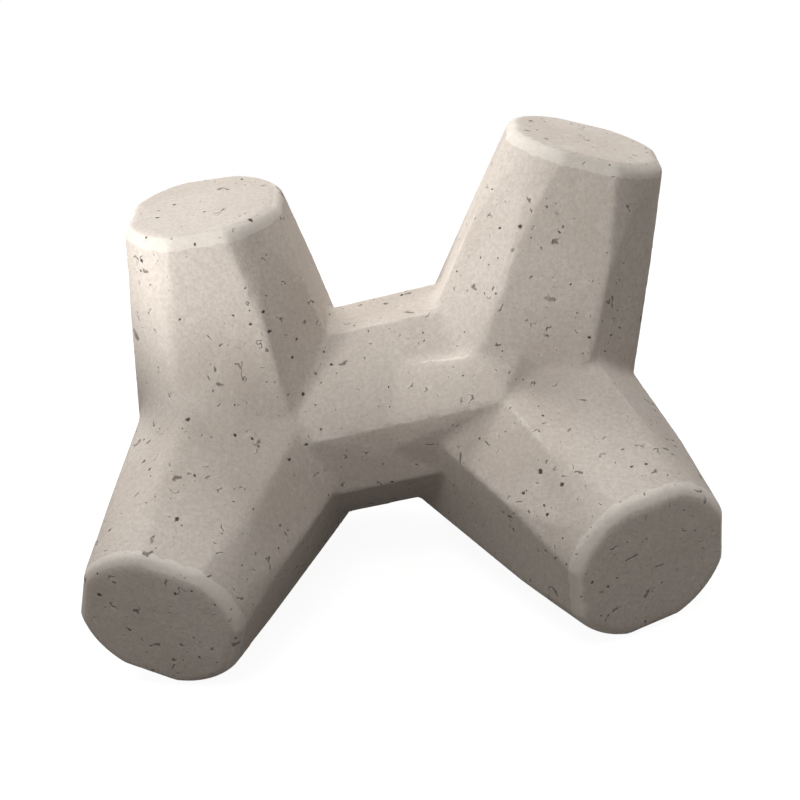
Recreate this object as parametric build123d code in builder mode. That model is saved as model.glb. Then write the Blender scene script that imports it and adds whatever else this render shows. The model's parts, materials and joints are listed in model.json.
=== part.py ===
"""Dolos armour unit: one cast concrete block, two V-shaped flukes joined by a shank.

Millimetres. The block lies as it comes to rest: on the undersides of its two lower
legs and the heels of its hubs. +X is along the shank from the left hub to the right
hub, +Z is up, and the legs open towards -Y. The origin is on the floor, under the
middle of the block.

A fluke is two tapered legs that meet at a hub. Its frame has its own middle line,
which halves the V, and its rise, which points from the lower leg to the upper one.
"""
import os
from math import cos, hypot, radians, sin, sqrt, tan

from build123d import *

# Shank: a square bar with its corners cut off, from hub to hub
hub_spacing = 800.0
shank_width = 585.0
shank_corner_cut = 139.0
shank_turn = -15.7

# Legs: tapered square bars with their corners cut off
root_width = 734.0
tip_width = 430.0
tip_corner_cut = 102.0
ridge_radius = 20.0
rim_radius = 36.0

# The legs are not all as long, from the hub's centre to the tip
left_upper_length = 809.0
left_lower_length = 855.0
right_upper_length = 893.0
right_lower_length = 857.0

# Each leg's turn about its own line, in degrees
left_upper_turn = 15.5
left_lower_turn = 22.0
right_upper_turn = 26.3
right_lower_turn = 21.1

# A tip's ridges are turned down to this width, and that fades out down the leg
tip_round_width = 452.0
tip_round_reach = 300.0

# Flukes: each hub's centre is behind and below the shank's middle
left_setback = 84.0
left_drop = 8.0
right_setback = 105.0
right_drop = 104.0
heel_depth = 310.0

# Each fluke's V and its lie about its hub, in degrees
left_fluke = {"side": -1, "opening": 89.6, "lean": 5.2, "lift": 12.6, "cant": 14.5}
right_fluke = {"side": 1, "opening": 86.0, "lean": 30.7, "lift": 11.5, "cant": 5.2}

# How the block comes to rest on level ground, in degrees about +X and then +Y
rest_pitch = -21.64
rest_roll = -4.88

facet_count = 8
facet_step = 360 / facet_count


def fluke_frame(fluke, setback, drop):
    """The hub's centre with X along the V's middle line and Z along its rise."""
    centre = Vector(fluke["side"] * hub_spacing / 2, setback, -drop)
    lean = radians(fluke["lean"])
    lift = radians(fluke["lift"])
    cant = radians(fluke["cant"])
    middle = Vector(fluke["side"] * sin(lean), -cos(lean) * cos(lift), cos(lean) * sin(lift))
    # The rise is square to the middle line, and the cant tips it towards +X
    along = Vector(1, 0, 0) - middle * middle.X
    along = along.normalized()
    upright = along.cross(middle).normalized()
    if upright.Z < 0:
        upright = upright * -1
    rise = (upright * cos(cant) + along * sin(cant)).normalized()
    return Plane(centre, x_dir=middle, z_dir=rise)


def leg_plane(fluke, frame, rise_sign, distance):
    """The plane square to a leg, its X towards the other leg and its Y to the shank."""
    half_angle = radians(fluke["opening"] / 2)
    axis = frame.x_dir * cos(half_angle) + frame.z_dir * (rise_sign * sin(half_angle))
    towards_other = frame.x_dir * sin(half_angle) - frame.z_dir * (rise_sign * cos(half_angle))
    return Plane(frame.origin + axis * distance, x_dir=towards_other, z_dir=axis)


def cut_square(width, corner_cut, turn):
    """A square with its corners cut off, turned about its middle."""
    Rectangle(width, width, rotation=turn)
    chamfer(vertices(), corner_cut)


def tapered_leg(fluke, frame, rise_sign, length, turn):
    """One leg, from the mitre at its hub to its tip with a rounded rim."""
    tip_plane = leg_plane(fluke, frame, rise_sign, length)
    shank_way = 1 if tip_plane.y_dir.X * fluke["side"] < 0 else -1
    taper = (root_width - tip_width) / 2 / length
    overall = length + root_width / tan(radians(fluke["opening"] / 2))
    # The tip is turned down to a cone that runs out into the ridges
    ridge_distance = hypot(tip_width / 2, tip_width / 2 - tip_corner_cut)
    ridge_taper = taper / cos(radians(facet_step / 2))
    round_taper = ridge_taper + (ridge_distance - tip_round_width / 2) / tip_round_reach
    round_base = tip_round_width / 2 + round_taper * overall
    first_facet = shank_way * turn
    with BuildPart(tip_plane) as leg:
        Cone(
            round_base,
            tip_round_width / 2,
            overall,
            rotation=(0, 0, first_facet),
            align=(Align.CENTER, Align.CENTER, Align.MAX),
        )
        # Eight flat facets, the broad ones and the corner cuts by turns
        for facet in range(facet_count):
            angle = radians(first_facet + facet_step * facet)
            outward = tip_plane.x_dir * cos(angle) + tip_plane.y_dir * sin(angle)
            broad = facet % 2 == 0
            distance = tip_width / 2 if broad else (tip_width - tip_corner_cut) / sqrt(2)
            face = Plane(tip_plane.origin + outward * distance, z_dir=outward + tip_plane.z_dir * taper)
            split(bisect_by=face, keep=Keep.BOTTOM)
        along_leg = Axis(tip_plane.origin, tip_plane.z_dir)
        tip = leg.faces().sort_by(along_leg)[-1]
        fillet(tip.edges(), rim_radius)
        ridges = [edge for edge in leg.edges().filter_by(GeomType.LINE) if edge.length > length]
        fillet(ridges, ridge_radius)
        # The two legs of a fluke meet on the plane that halves the V
        split(bisect_by=Plane(frame.origin, z_dir=frame.z_dir * rise_sign), keep=Keep.TOP)
        # The back of the elbow is cast flat
        split(bisect_by=Plane(frame.origin - frame.x_dir * heel_depth, z_dir=frame.x_dir), keep=Keep.TOP)
    return leg.part


left_frame = fluke_frame(left_fluke, left_setback, left_drop)
right_frame = fluke_frame(right_fluke, right_setback, right_drop)

with BuildPart() as dolos:
    with BuildSketch(Plane.YZ.offset(-hub_spacing / 2)):
        cut_square(shank_width, shank_corner_cut, shank_turn)
    extrude(amount=hub_spacing)
    add(tapered_leg(left_fluke, left_frame, 1, left_upper_length, left_upper_turn))
    add(tapered_leg(left_fluke, left_frame, -1, left_lower_length, left_lower_turn))
    add(tapered_leg(right_fluke, right_frame, 1, right_upper_length, right_upper_turn))
    add(tapered_leg(right_fluke, right_frame, -1, right_lower_length, right_lower_turn))

# Turned to how it lies, then set on the floor with its middle over the origin
lying = Rot(Y=rest_roll) * Rot(X=rest_pitch) * dolos.part
box = lying.bounding_box()
middle = box.center()
with BuildPart() as placed:
    add(Pos(-middle.X, -middle.Y, -box.min.Z) * lying)

os.makedirs("parts", exist_ok=True)
placed.part.label = "dolos"
export_step(placed.part, "parts/dolos.step")
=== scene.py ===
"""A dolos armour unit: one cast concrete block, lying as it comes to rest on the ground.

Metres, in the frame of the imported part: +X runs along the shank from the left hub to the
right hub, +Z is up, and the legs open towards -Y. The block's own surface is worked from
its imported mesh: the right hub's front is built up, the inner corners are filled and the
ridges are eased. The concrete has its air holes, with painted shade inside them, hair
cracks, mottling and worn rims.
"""
import json
import math

import bpy
import numpy as np
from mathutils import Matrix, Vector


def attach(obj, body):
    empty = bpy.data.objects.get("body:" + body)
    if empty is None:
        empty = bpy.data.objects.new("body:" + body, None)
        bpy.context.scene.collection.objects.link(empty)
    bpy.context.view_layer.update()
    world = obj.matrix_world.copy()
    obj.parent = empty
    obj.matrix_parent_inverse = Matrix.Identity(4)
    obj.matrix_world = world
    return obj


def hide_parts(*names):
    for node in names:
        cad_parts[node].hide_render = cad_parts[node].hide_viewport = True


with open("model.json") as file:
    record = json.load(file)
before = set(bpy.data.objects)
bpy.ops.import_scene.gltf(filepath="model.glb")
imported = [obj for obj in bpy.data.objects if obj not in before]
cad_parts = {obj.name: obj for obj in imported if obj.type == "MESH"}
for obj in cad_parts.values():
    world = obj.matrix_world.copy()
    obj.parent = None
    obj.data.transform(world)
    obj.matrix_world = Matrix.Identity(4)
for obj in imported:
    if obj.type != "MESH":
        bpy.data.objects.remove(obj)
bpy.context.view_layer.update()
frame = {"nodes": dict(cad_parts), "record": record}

# The camera, where the photograph was taken from
camera_place = (0.2324, -2.7175, 1.6108)
camera_turn = (68.353, 8.803, 0.639)
camera_lens = 44.142
camera_sensor = 36.0

# The cast surface: the size of its grid
grid_size = 0.0105

# The right hub's front: the shank widens into it, up to the root of the lower leg
hub_front_corners = (
    (0.060, -0.050, 0.679),
    (0.003, -0.155, 0.534),
    (-0.005, -0.144, 0.451),
    (0.123, -0.131, 0.368),
    (0.330, -0.226, 0.586),
    (0.425, -0.123, 0.638),
    (0.399, -0.117, 0.680),
    (0.289, -0.108, 0.697),
    (0.100, 0.100, 0.450),
    (0.350, 0.100, 0.500),
)

# Rounds of smoothing: the whole skin, and the inner corners of each fluke
skin_rounds = 1
left_fill_rounds = 275
right_fill_rounds = 6

# An inner corner is filled wholly where smoothing lifts the surface by this much
full_lift = 0.002

# Along the shank, where the left fluke's broad fills give way to the right one's
fill_change_from = -0.40
fill_change_to = -0.25

# Ridges are eased on the left fluke, and round a place on the right hub's front
ease_rounds = 20
left_ease_share = 0.85
eased_place = (0.190, -0.080, 0.695)
eased_reach = 0.130

# How far behind a tip's flat the easing begins, and over what length it comes in
ease_from_tip = 0.05
ease_comes_in_over = 0.15

# What counts as a tip, and how strongly ridges wear pale on the left fluke
tip_reach = 0.28
wear_rounds = 5
left_wear_share = 0.4

# Colours of the concrete
cement_dark = (0.575, 0.508, 0.447, 1)
cement_light = (0.630, 0.566, 0.507, 1)
sand_grain = (0.400, 0.348, 0.300, 1)
dark_speck = (0.30, 0.27, 0.25, 1)
light_spot = (0.72, 0.67, 0.61, 1)
worn_edge = (0.78, 0.73, 0.66, 1)
# Painted shade inside the air holes, also the dark of the hair cracks
painted_hole_shade_and_crack_tone = (0.050, 0.036, 0.027, 1)

# The band of wear round a tip's rim, by its depth behind the tip's flat
rim_band_outer = (0.043, 0.047)
rim_band_inner = (0.002, 0.006)

# Air holes: how far apart they may be, the largest radius and the share that is there
large_hole_spacing = 0.045
large_hole_radius = 0.0070
large_hole_share = 0.7
small_hole_spacing = 0.024
small_hole_radius = 0.0034
small_hole_share = 0.6

# The floor's tone to the block and to the camera
floor_to_block = (0.17, 0.155, 0.14, 1)
floor_to_camera = (0.80, 0.80, 0.80, 1)
floor_glow = 1.2
floor_glow_share = 0.78
floor_size = 60
sky_light = 0.36

# The square soft boxes point at the block's middle
soft_box_size = 2.0
soft_box_aim = (0, 0, 0.5)
high_lamp_place = (-1.58, 2.73, 5.0)
high_lamp_power = 185
right_lamp_place = (4.04, 2.33, 3.4)
right_lamp_power = 45
front_lamp_place = (-0.2, -2.9, 5.2)
front_lamp_power = 85

# A soft spot from the left, for the upper legs
spot_place = (-2.0, -1.3, 1.0)
spot_aim = (0, 0, 1.38)
spot_power = 195
spot_opening = 44
spot_blend = 0.8
spot_radius = 0.25


def deselect_all():
    """Nothing stays selected, so the next operator acts only on what is picked for it."""
    bpy.ops.object.select_all(action="DESELECT")


def pick(piece):
    """Only this piece is selected and active."""
    deselect_all()
    piece.select_set(True)
    bpy.context.view_layer.objects.active = piece


def apply_modifiers(piece):
    """Every modifier of the piece is applied, in order."""
    pick(piece)
    for modifier in list(piece.modifiers):
        bpy.ops.object.modifier_apply(modifier=modifier.name)


def vertex_places(piece):
    """The piece's vertices as an array of places."""
    places = np.empty(len(piece.data.vertices) * 3)
    piece.data.vertices.foreach_get("co", places)
    return places.reshape(-1, 3)


def vertex_normals(piece):
    """The piece's outward directions at its vertices."""
    normals = np.empty(len(piece.data.vertices) * 3)
    piece.data.vertex_normals.foreach_get("vector", normals)
    return normals.reshape(-1, 3)


def relaxed_places(piece, places, rounds):
    """The vertices after so many rounds of moving halfway to their neighbours' middle."""
    edges = np.empty(len(piece.data.edges) * 2, dtype=np.int64)
    piece.data.edges.foreach_get("vertices", edges)
    starts, ends = edges.reshape(-1, 2).T
    count = len(places)
    neighbours = np.bincount(starts, minlength=count) + np.bincount(ends, minlength=count)
    relaxed = places.copy()
    for _ in range(rounds):
        middles = np.empty_like(relaxed)
        for axis in range(3):
            values = relaxed[:, axis]
            total = np.bincount(starts, weights=values[ends], minlength=count)
            total += np.bincount(ends, weights=values[starts], minlength=count)
            middles[:, axis] = total / neighbours
        relaxed = (relaxed + middles) / 2
    return relaxed


def copy_of_block(node):
    """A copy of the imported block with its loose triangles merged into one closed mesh."""
    pick(node)
    bpy.ops.object.duplicate()
    block = bpy.context.active_object
    block.name = "cast_block"
    block.data.name = "cast_block"
    bpy.ops.object.mode_set(mode="EDIT")
    bpy.ops.mesh.select_all(action="SELECT")
    bpy.ops.mesh.remove_doubles(threshold=0.00001)
    bpy.ops.object.mode_set(mode="OBJECT")
    return block


def add_hub_front(block):
    """A closed lump round the hub's front corners, joined to the block."""
    mesh = bpy.data.meshes.new("hub_front")
    mesh.from_pydata(hub_front_corners, [], [])
    lump = bpy.data.objects.new("hub_front", mesh)
    bpy.context.scene.collection.objects.link(lump)
    pick(lump)
    bpy.ops.object.mode_set(mode="EDIT")
    bpy.ops.mesh.select_all(action="SELECT")
    bpy.ops.mesh.convex_hull()
    bpy.ops.object.mode_set(mode="OBJECT")
    block.select_set(True)
    bpy.context.view_layer.objects.active = block
    bpy.ops.object.join()


def even_grid(block):
    """The block's surface as an even grid that lies on it, fine enough to be worked."""
    pick(block)
    bpy.ops.object.duplicate()
    true_surface = bpy.context.active_object
    remesh = block.modifiers.new("even_grid", "REMESH")
    remesh.mode = "VOXEL"
    remesh.voxel_size = grid_size
    remesh.use_smooth_shade = True
    onto = block.modifiers.new("onto_surface", "SHRINKWRAP")
    onto.wrap_method = "NEAREST_SURFACEPOINT"
    onto.target = true_surface
    apply_modifiers(block)
    pick(true_surface)
    bpy.ops.object.delete()


def outward_rise(relaxed, places, outwards):
    """How far smoothing lifts each vertex off the surface; less than zero on a ridge."""
    return np.einsum("ij,ij->i", relaxed - places, outwards)


def lifted(skin, relaxed, outwards):
    """The relaxed places where they stand off the skin, and the skin everywhere else."""
    share = np.clip(outward_rise(relaxed, skin, outwards) / full_lift, 0, 1)
    return skin + (relaxed - skin) * share[:, None]


def fill_and_wear(block):
    """Inner corners are filled and ridges are worn; the wear is kept as an attribute."""
    skin = relaxed_places(block, vertex_places(block), skin_rounds)
    outwards = vertex_normals(block)
    worn = relaxed_places(block, skin, wear_rounds)
    crisp = relaxed_places(block, skin, right_fill_rounds)
    broad = relaxed_places(block, crisp, left_fill_rounds - right_fill_rounds)
    # The left fluke's inner corners are broad blends, the right fluke's are tight
    tight = (skin[:, 0] - fill_change_from) / (fill_change_to - fill_change_from)
    tight = np.clip(tight, 0, 1)[:, None]
    filled = tight * lifted(skin, crisp, outwards) + (1 - tight) * lifted(skin, broad, outwards)
    # Ridges stay on the tips, where the mould's rim is
    from_eased = np.linalg.norm(skin - np.array(eased_place), axis=1) / eased_reach
    off_tips = (depth_from_tips(skin) - ease_from_tip) / ease_comes_in_over
    off_tips = np.clip(off_tips, 0, 1)[:, None]
    ease = np.maximum(np.exp(-from_eased**2)[:, None], left_ease_share * (1 - tight) * off_tips)
    filled = filled + (relaxed_places(block, filled, ease_rounds) - filled) * ease
    block.data.vertices.foreach_set("co", filled.ravel())
    block.data.update()
    ridge = -outward_rise(worn, skin, outwards) / grid_size
    ridge *= left_wear_share + (1 - left_wear_share) * tight[:, 0]
    wear = block.data.attributes.new("edge_wear", "FLOAT", "POINT")
    wear.data.foreach_set("value", np.clip(ridge, 0, 1).astype(np.float32))
    depth = block.data.attributes.new("tip_depth", "FLOAT", "POINT")
    depth.data.foreach_set("value", depth_from_tips(filled).astype(np.float32))


def depth_from_tips(places):
    """How far each place is behind the flat of the nearest tip, and 1 away from the tips."""
    depth = np.ones(len(places))
    for mount in frame["record"]["mounts"]:
        from_tip = places - np.array(mount["pos_m"])
        behind = -from_tip @ np.array(mount["axis"])
        near = np.linalg.norm(from_tip, axis=1) < tip_reach
        depth = np.where(near, np.minimum(depth, behind), depth)
    return depth


def cast_block(node):
    """The visible block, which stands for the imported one."""
    block = copy_of_block(node)
    add_hub_front(block)
    even_grid(block)
    fill_and_wear(block)
    pick(block)
    bpy.ops.object.shade_smooth()
    block.data.materials.clear()
    block.data.materials.append(weathered_concrete())
    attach(block, "root")
    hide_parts("dolos")
    return block


class Nodes:
    """A material's node tree, with short calls to add a node and join its sockets."""

    def __init__(self, name):
        self.material = bpy.data.materials.new(name)
        self.material.use_nodes = True
        self.tree = self.material.node_tree
        self.tree.nodes.clear()

    def add(self, kind, **settings):
        """A new node of this kind with its properties set."""
        node = self.tree.nodes.new(kind)
        for name, value in settings.items():
            setattr(node, name, value)
        return node

    def join(self, source, target):
        """A link, or a plain value where the source isn't a socket."""
        if isinstance(source, bpy.types.NodeSocket):
            self.tree.links.new(source, target)
        else:
            target.default_value = source

    def maths(self, operation, first, second=0.0, third=0.0):
        """The result of one arithmetic step."""
        node = self.add("ShaderNodeMath", operation=operation)
        for value, target in zip((first, second, third), node.inputs):
            self.join(value, target)
        return node.outputs[0]

    def between(self, value, low, high, to_low=0.0, to_high=1.0):
        """The value brought smoothly from one range to another, and held at its ends."""
        node = self.add("ShaderNodeMapRange", interpolation_type="SMOOTHSTEP")
        self.join(value, node.inputs["Value"])
        node.inputs["From Min"].default_value = low
        node.inputs["From Max"].default_value = high
        node.inputs["To Min"].default_value = to_low
        node.inputs["To Max"].default_value = to_high
        return node.outputs["Result"]

    def blended(self, share, first, second, blend_type="MIX"):
        """Two colours mixed by a share."""
        node = self.add("ShaderNodeMix", data_type="RGBA", blend_type=blend_type)
        self.join(share, node.inputs["Factor"])
        self.join(first, node.inputs["A"])
        self.join(second, node.inputs["B"])
        return node.outputs["Result"]

    def noise(self, place, scale, detail=2.0, roughness=0.5, distortion=0.0):
        """A soft random pattern at a scale, in waves to the metre."""
        node = self.add("ShaderNodeTexNoise")
        self.join(place, node.inputs["Vector"])
        node.inputs["Scale"].default_value = scale
        node.inputs["Detail"].default_value = detail
        node.inputs["Roughness"].default_value = roughness
        node.inputs["Distortion"].default_value = distortion
        return node.outputs["Fac"]

    def cells(self, place, scale, randomness=1.0):
        """Random points in space: the distance to the nearest, and its own colour."""
        node = self.add("ShaderNodeTexVoronoi", feature="F1")
        self.join(place, node.inputs["Vector"])
        node.inputs["Scale"].default_value = scale
        node.inputs["Randomness"].default_value = randomness
        return node.outputs["Distance"], node.outputs["Color"]


def air_holes(nodes, place, spacing, radius, share):
    """Round holes that air left in the cast face, as a mask for painted shade inside them: 1 in a
    hole, 0 outside.
    """
    distance, colour = nodes.cells(place, 1 / spacing)
    split = nodes.add("ShaderNodeSeparateColor")
    nodes.join(colour, split.inputs["Color"])
    reach = nodes.maths("MULTIPLY", split.outputs["Red"], radius / spacing)
    kept = nodes.maths("LESS_THAN", split.outputs["Green"], share)
    reach = nodes.maths("MULTIPLY", reach, kept)
    depth = nodes.maths("SUBTRACT", reach, distance)
    depth = nodes.maths("DIVIDE", depth, 0.3 * radius / spacing)
    clamp = nodes.add("ShaderNodeClamp")
    nodes.join(depth, clamp.inputs["Value"])
    return clamp.outputs["Result"]


def hair_cracks(nodes, place, wander, width, spread, share):
    """Short thin dark lines: pieces of the contours of one soft pattern, kept by another."""
    contour = nodes.maths("SUBTRACT", nodes.noise(place, wander, 2.0), 0.5)
    line = nodes.between(nodes.maths("ABSOLUTE", contour), 0.0, width * wander, 1.0, 0.0)
    pieces = nodes.between(nodes.noise(place, spread, 1.0), share, share + 0.04)
    return nodes.maths("MULTIPLY", line, pieces)


def weathered_concrete():
    """Pale warm-grey concrete: mottled, with air holes that have painted shade inside, hair cracks
    and pale worn edges.
    """
    nodes = Nodes("weathered_concrete")
    place = nodes.add("ShaderNodeTexCoord").outputs["Object"]

    # Colour of the cement skin, from broad clouds down to fine sand grain
    clouds = nodes.between(nodes.noise(place, 3.0, 3.0), 0.35, 0.65)
    skin = nodes.blended(clouds, cement_dark, cement_light)
    grain = nodes.between(nodes.noise(place, 85.0, 3.0, 0.7), 0.38, 0.62)
    skin = nodes.blended(nodes.maths("MULTIPLY", grain, 0.30), skin, sand_grain)
    specks = nodes.between(nodes.noise(place, 150.0, 2.0, 0.6), 0.60, 0.72)
    skin = nodes.blended(nodes.maths("MULTIPLY", specks, 0.35), skin, dark_speck)
    light_spots = nodes.between(nodes.noise(place, 30.0, 2.0), 0.60, 0.72)
    skin = nodes.blended(nodes.maths("MULTIPLY", light_spots, 0.30), skin, light_spot)

    # Worn ridges and rims are paler, in broken bands
    wear = nodes.add("ShaderNodeAttribute", attribute_name="edge_wear").outputs["Fac"]
    wear_break = nodes.maths("MULTIPLY", nodes.noise(place, 24.0, 4.0), 0.12)
    worn = nodes.between(nodes.maths("ADD", wear, wear_break), 0.16, 0.26)
    skin = nodes.blended(nodes.maths("MULTIPLY", worn, 0.50), skin, worn_edge)
    depth = nodes.add("ShaderNodeAttribute", attribute_name="tip_depth").outputs["Fac"]
    ragged = nodes.maths("MULTIPLY", nodes.noise(place, 30.0, 4.0), 0.022)
    outer = nodes.between(nodes.maths("ADD", depth, ragged), *rim_band_outer, 1.0, 0.0)
    inner = nodes.between(depth, *rim_band_inner)
    rim = nodes.maths("MULTIPLY", outer, inner)
    skin = nodes.blended(nodes.maths("MULTIPLY", rim, 0.5), skin, worn_edge)

    # Air holes of two sizes, hair cracks and small curls, all a little out of true; the holes get
    # painted shade
    wobble = nodes.add("ShaderNodeVectorMath", operation="ADD")
    ripple = nodes.add("ShaderNodeTexNoise")
    nodes.join(place, ripple.inputs["Vector"])
    ripple.inputs["Scale"].default_value = 60.0
    shift = nodes.add("ShaderNodeVectorMath", operation="SCALE")
    nodes.join(ripple.outputs["Color"], shift.inputs[0])
    shift.inputs["Scale"].default_value = 0.014
    nodes.join(place, wobble.inputs[0])
    nodes.join(shift.outputs[0], wobble.inputs[1])
    bent = wobble.outputs[0]
    large_holes = air_holes(nodes, bent, large_hole_spacing, large_hole_radius, large_hole_share)
    small_holes = air_holes(nodes, bent, small_hole_spacing, small_hole_radius, small_hole_share)
    holes = nodes.maths("MAXIMUM", large_holes, small_holes)
    cracks = hair_cracks(nodes, bent, 9.0, 0.0030, 21.0, 0.66)
    holes = nodes.maths("MAXIMUM", holes, nodes.maths("MULTIPLY", cracks, 0.75))
    curls = hair_cracks(nodes, place, 22.0, 0.0012, 30.0, 0.66)
    holes = nodes.maths("MAXIMUM", holes, nodes.maths("MULTIPLY", curls, 0.8))
    # Painted shade inside the air holes, and the dark lines of the hair cracks and curls
    skin = nodes.blended(nodes.maths("MULTIPLY", holes, 0.92), skin, painted_hole_shade_and_crack_tone)

    # Relief: fine grain, a broad unevenness and the holes
    height = nodes.maths("MULTIPLY", nodes.noise(place, 110.0, 4.0, 0.7), 0.35)
    height = nodes.maths("ADD", height, nodes.maths("MULTIPLY", nodes.noise(place, 14.0, 4.0), 0.9))
    height = nodes.maths("SUBTRACT", height, nodes.maths("MULTIPLY", holes, 1.5))
    relief = nodes.add("ShaderNodeBump")
    relief.inputs["Strength"].default_value = 0.5
    relief.inputs["Distance"].default_value = 0.006
    nodes.join(height, relief.inputs["Height"])

    surface = nodes.add("ShaderNodeBsdfPrincipled")
    nodes.join(skin, surface.inputs["Base Color"])
    surface.inputs["Roughness"].default_value = 0.88
    surface.inputs["Specular IOR Level"].default_value = 0.25
    nodes.join(relief.outputs["Normal"], surface.inputs["Normal"])
    output = nodes.add("ShaderNodeOutputMaterial")
    nodes.join(surface.outputs["BSDF"], output.inputs["Surface"])
    return nodes.material


def studio_floor():
    """A wide pale floor: white to the camera, and it keeps the block's shadow."""
    deselect_all()
    bpy.ops.mesh.primitive_plane_add(size=floor_size, location=(0, 0, 0))
    floor = bpy.context.active_object
    floor.name = "studio_floor"
    nodes = Nodes("studio_floor")
    path = nodes.add("ShaderNodeLightPath").outputs
    seen = nodes.maths("MAXIMUM", path["Is Camera Ray"], path["Is Glossy Ray"])
    seen = nodes.maths("MAXIMUM", seen, path["Is Transmission Ray"])
    # Dark to the block, so that little light comes up from below it
    paper = nodes.add("ShaderNodeBsdfDiffuse")
    tone = nodes.blended(seen, floor_to_block, floor_to_camera)
    nodes.join(tone, paper.inputs["Color"])
    white = nodes.add("ShaderNodeEmission")
    white.inputs["Strength"].default_value = floor_glow
    surface = nodes.add("ShaderNodeMixShader")
    nodes.join(nodes.maths("MULTIPLY", seen, floor_glow_share), surface.inputs["Fac"])
    nodes.join(paper.outputs["BSDF"], surface.inputs[1])
    nodes.join(white.outputs["Emission"], surface.inputs[2])
    output = nodes.add("ShaderNodeOutputMaterial")
    nodes.join(surface.outputs["Shader"], output.inputs["Surface"])
    floor.data.materials.append(nodes.material)


def studio_world():
    """White where the camera looks past everything, soft grey light for the block."""
    world = bpy.data.worlds.new("studio_world")
    bpy.context.scene.world = world
    world.use_nodes = True
    tree = world.node_tree
    tree.nodes.clear()
    path = tree.nodes.new("ShaderNodeLightPath")
    seen = tree.nodes.new("ShaderNodeMath")
    seen.operation = "MAXIMUM"
    tree.links.new(path.outputs["Is Camera Ray"], seen.inputs[0])
    tree.links.new(path.outputs["Is Glossy Ray"], seen.inputs[1])
    seen_through = tree.nodes.new("ShaderNodeMath")
    seen_through.operation = "MAXIMUM"
    tree.links.new(seen.outputs[0], seen_through.inputs[0])
    tree.links.new(path.outputs["Is Transmission Ray"], seen_through.inputs[1])
    strength = tree.nodes.new("ShaderNodeMapRange")
    tree.links.new(seen_through.outputs[0], strength.inputs["Value"])
    strength.inputs["To Min"].default_value = sky_light
    strength.inputs["To Max"].default_value = 1.0
    background = tree.nodes.new("ShaderNodeBackground")
    background.inputs["Color"].default_value = (1, 1, 1, 1)
    tree.links.new(strength.outputs["Result"], background.inputs["Strength"])
    output = tree.nodes.new("ShaderNodeOutputWorld")
    tree.links.new(background.outputs["Background"], output.inputs["Surface"])


def hang(lamp, place, aim):
    """The lamp in the scene, at its place and pointing at its aim."""
    holder = bpy.data.objects.new(lamp.name, lamp)
    bpy.context.scene.collection.objects.link(holder)
    holder.location = place
    direction = Vector(aim) - Vector(place)
    holder.rotation_euler = direction.to_track_quat("-Z", "Y").to_euler()


def soft_lamp(name, place, power):
    """A square soft box that points at the block."""
    lamp = bpy.data.lights.new(name, "AREA")
    lamp.size = soft_box_size
    lamp.energy = power
    hang(lamp, place, soft_box_aim)


def upper_legs_lamp():
    """A soft spot from the left and a little below the upper legs."""
    lamp = bpy.data.lights.new("upper_legs_lamp", "SPOT")
    lamp.energy = spot_power
    lamp.spot_size = math.radians(spot_opening)
    lamp.spot_blend = spot_blend
    lamp.shadow_soft_size = spot_radius
    hang(lamp, spot_place, spot_aim)


def camera_of_photograph():
    """The camera at the photograph's viewing angle."""
    camera = bpy.data.cameras.new("camera")
    camera.lens = camera_lens
    camera.sensor_width = camera_sensor
    holder = bpy.data.objects.new("camera", camera)
    bpy.context.scene.collection.objects.link(holder)
    holder.location = camera_place
    holder.rotation_euler = [math.radians(angle) for angle in camera_turn]
    bpy.context.scene.camera = holder


cast_block(frame["nodes"]["dolos"])
studio_floor()
studio_world()
soft_lamp("high_lamp", high_lamp_place, high_lamp_power)
soft_lamp("right_lamp", right_lamp_place, right_lamp_power)
soft_lamp("front_lamp", front_lamp_place, front_lamp_power)
upper_legs_lamp()
camera_of_photograph()
bpy.context.scene.view_settings.view_transform = "Standard"
